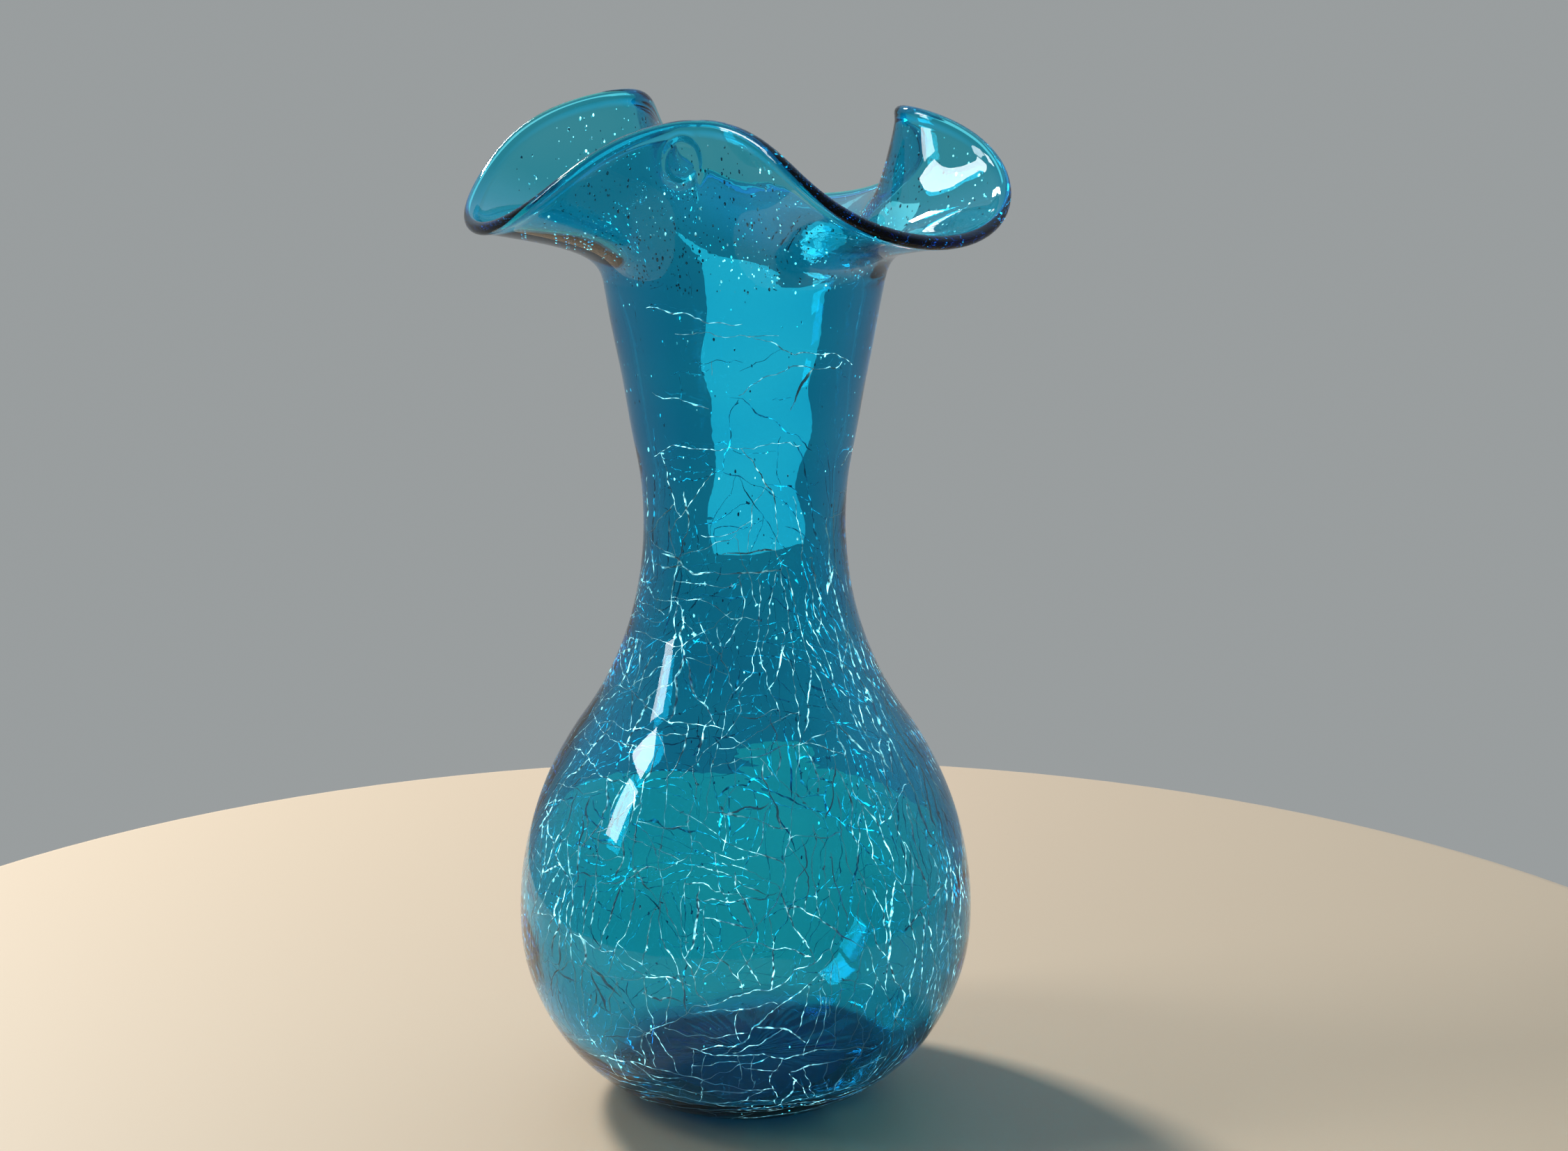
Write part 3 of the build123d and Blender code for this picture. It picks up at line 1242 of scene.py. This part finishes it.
@dataclass(frozen=True)
class SilveryBreakWithPaintedGlow:
    """The face of a crack or bubble inside glass: a mirror of air, with painted light on it: emission that
    stands for the light it would catch, and painted shade that dims the mirror's colour where that emission
    is low.
    """

    name: str
    colour: Triple = (0.93, 0.99, 1.0)
    # painted light: the emission's tint, its range from least to most, and how far painted shade dims the
    # mirror colour on dull faces
    painted_glow_tint: Triple = (0.55, 0.96, 1.0)
    roughness: float = 0.3
    patches: float = 60.0
    sparks: float = 650.0
    dullest_painted_glow: float = 0.05
    brightest_painted_glow: float = 2.9
    painted_shade_share: float = 0.5
    full_colour_from: float = 0.4

    def build(self, painted_glint: Tree) -> Material:
        """Makes the material.

        Args:
            painted_glint: The shared node group that puts out the painted glints.

        Returns:
            The finished material.
        """
        material = bpy.data.materials.new(self.name)
        material.use_nodes = True
        tree = material.node_tree
        inputs = {
            "Patches": self.patches,
            "Sparks": self.sparks,
            "Least": self.dullest_painted_glow,
            "Most": self.brightest_painted_glow,
            "Tint": (*self.painted_glow_tint, 1),
        }
        painted_glitter = add_node(tree, "ShaderNodeGroup", inputs, node_tree=painted_glint)
        # painted shade: the mirror's colour is dimmed where the painted glints are low
        painted_shade_colour = tuple(self.painted_shade_share * part for part in self.colour)
        painted_shades = ramp(tree, painted_glitter.outputs["Amount"], (0.0, painted_shade_colour), (self.full_colour_from, self.colour))
        look = {
            "Base Color": painted_shades,
            "Metallic": 1.0,
            "Roughness": self.roughness,
            # painted light: the faces give off light of their own, though they are no lamp
            "Emission Strength": 1.0,
            "Emission Color": painted_glitter.outputs["Color"],
        }
        feed(tree, tree.nodes["Principled BSDF"], look)
        return material


# ---------------------------------------------------------------- stage


@dataclass(frozen=True)
class Lamp:
    """One rectangular soft light, aimed at the middle of the vase and unseen by the camera."""

    name: str
    place: Triple
    size: tuple[float, float]
    power: float
    colour: Triple
    target: Triple = (0, 0, 0.12)

    def build(self) -> None:
        """Makes the light."""
        data = bpy.data.lights.new(self.name, "AREA")
        data.shape = "RECTANGLE"
        data.size, data.size_y = self.size
        data.energy = self.power
        data.color = self.colour
        lamp = bpy.data.objects.new(self.name, data)
        lamp.location = self.place
        lamp.visible_camera = False
        aim = Vector(self.target) - Vector(self.place)
        lamp.rotation_euler = aim.to_track_quat("-Z", "Y").to_euler()
        bpy.context.scene.collection.objects.link(lamp)


@dataclass
class Studio:
    """A round pale table top, a soft grey surround, lights and the camera."""

    table_radius: float = 0.295
    table_thickness: float = 0.02
    table_edge: float = 0.006
    table_gap: float = 0.0002
    table_colour: Triple = (0.43, 0.335, 0.235)
    table_roughness: float = 0.6
    lens: float = 67.2
    sensor: float = 36.0
    camera_place: Triple = (0.0, -0.694, 0.2854)
    camera_pitch: float = math.radians(12.58)
    camera_yaw: float = math.radians(0.786)
    surround: Triple = (0.298, 0.314, 0.318)
    skylight: Triple = (0.45, 0.62, 0.80)
    room: Triple = (0.125, 0.140, 0.155)
    fill: Triple = (0.16, 0.24, 0.32)
    horizon: float = 0.03
    skylight_from: float = 0.55
    fill_from: float = 0.75
    front_edge: float = -0.35
    back_edge: float = 0.30
    lamps: tuple[Lamp, ...] = (
        Lamp("back_left_window", (-0.75, 0.85, 1.05), (0.22, 0.22), 25.0, (1.0, 0.97, 0.92)),
        Lamp("left_window", (-0.98, -0.20, 0.50), (0.17, 0.32), 1.5, (0.97, 0.99, 1.0)),
        Lamp("high_left_window", (-0.80, -0.08, 0.80), (0.26, 0.30), 3.0, (0.97, 0.99, 1.0)),
        Lamp("back_glow", (0.0170, 0.45, 0.105), (0.088, 0.1155), 0.0330, (1.0, 0.49, 0.44)),
    )

    def table(self) -> Piece:
        """A disc with a rounded edge, just under the foot.

        Returns:
            The disc.
        """
        deselect_all()
        middle = (0, 0, -self.table_thickness / 2 - self.table_gap)
        bpy.ops.mesh.primitive_cylinder_add(
            vertices=128, radius=self.table_radius, depth=self.table_thickness, location=middle
        )
        piece = bpy.context.object
        piece.name = "table"
        bpy.ops.object.transform_apply(location=True)
        apply_modifier(piece, "BEVEL", width=self.table_edge, segments=4, limit_method="ANGLE")
        material = bpy.data.materials.new("pale_table")
        material.use_nodes = True
        look = {"Base Color": (*self.table_colour, 1), "Roughness": self.table_roughness}
        feed(material.node_tree, material.node_tree.nodes["Principled BSDF"], look)
        piece.data.materials.append(material)
        return piece

    def world(self) -> None:
        """A grey wall behind, brighter overhead, and a darker room in front."""
        world = bpy.data.worlds.new("surround")
        bpy.context.scene.world = world
        world.use_nodes = True
        tree = world.node_tree
        place = add_node(tree, "ShaderNodeTexCoord")
        way = add_node(tree, "ShaderNodeSeparateXYZ", {0: place.outputs["Generated"]}).outputs
        behind = ramp(tree, way["Z"], (self.horizon, self.surround), (self.skylight_from, self.skylight))
        before = ramp(tree, way["Z"], (self.horizon, self.room), (self.fill_from, self.fill))
        inputs = {"Value": way["Y"], "From Min": self.front_edge, "From Max": self.back_edge}
        facing = add_node(tree, "ShaderNodeMapRange", inputs)
        inputs = {"Factor": facing.outputs["Result"], 6: before, 7: behind}
        blend = add_node(tree, "ShaderNodeMix", inputs, data_type="RGBA")
        feed(tree, tree.nodes["Background"], {"Color": blend.outputs[2]})

    def camera(self) -> None:
        """The camera, level with the mouth and looking a little down."""
        data = bpy.data.cameras.new("camera")
        data.lens, data.sensor_width = self.lens, self.sensor
        camera = bpy.data.objects.new("camera", data)
        camera.location = self.camera_place
        camera.rotation_euler = (math.pi / 2 - self.camera_pitch, 0, -self.camera_yaw)
        bpy.context.scene.collection.objects.link(camera)
        bpy.context.scene.camera = camera

    def build(self) -> None:
        """Sets up all of the stage."""
        self.table()
        self.world()
        for lamp in self.lamps:
            lamp.build()
        self.camera()
        bpy.context.scene.view_settings.view_transform = "Standard"
        bpy.context.scene.view_settings.look = "Medium High Contrast"


# ---------------------------------------------------------------- assembly


def install(piece: Piece, material: Material) -> None:
    """Dresses a piece, and says which body it rides on.

    Args:
        piece: The finished piece.
        material: Its finish.
    """
    piece.data.materials.clear()
    piece.data.materials.append(material)
    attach(piece, "root")
    LOG.info("%s: %d faces", piece.name, len(piece.data.polygons))


def main() -> None:
    """Builds the vase and its stage."""
    logging.basicConfig(level=logging.INFO, format="%(message)s")
    ripple, marks, painted_glint = ripple_group(), mark_group(), painted_glint_group()
    wall = Vessel().build()
    install(wall, AquaGlass().build(ripple, marks))
    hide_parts("crackle_casing", "core_bubble", "heavy_base_pad", "ruffled_mouth", "rolled_lip")
    fissures = Fissures().build()
    # the crack sheets and bubbles carry painted glints and painted shade
    install(fissures, SilveryBreakWithPaintedGlow("fissure_silver_painted_glow").build(painted_glint))
    seeds = Seeds().build()
    bubble = SilveryBreakWithPaintedGlow("bubble_silver_painted_glow", roughness=0.08, sparks=900.0, dullest_painted_glow=0.0, brightest_painted_glow=6.0)
    install(seeds, bubble.build(painted_glint))
    Studio().build()


if __name__ == "__main__":
    main()
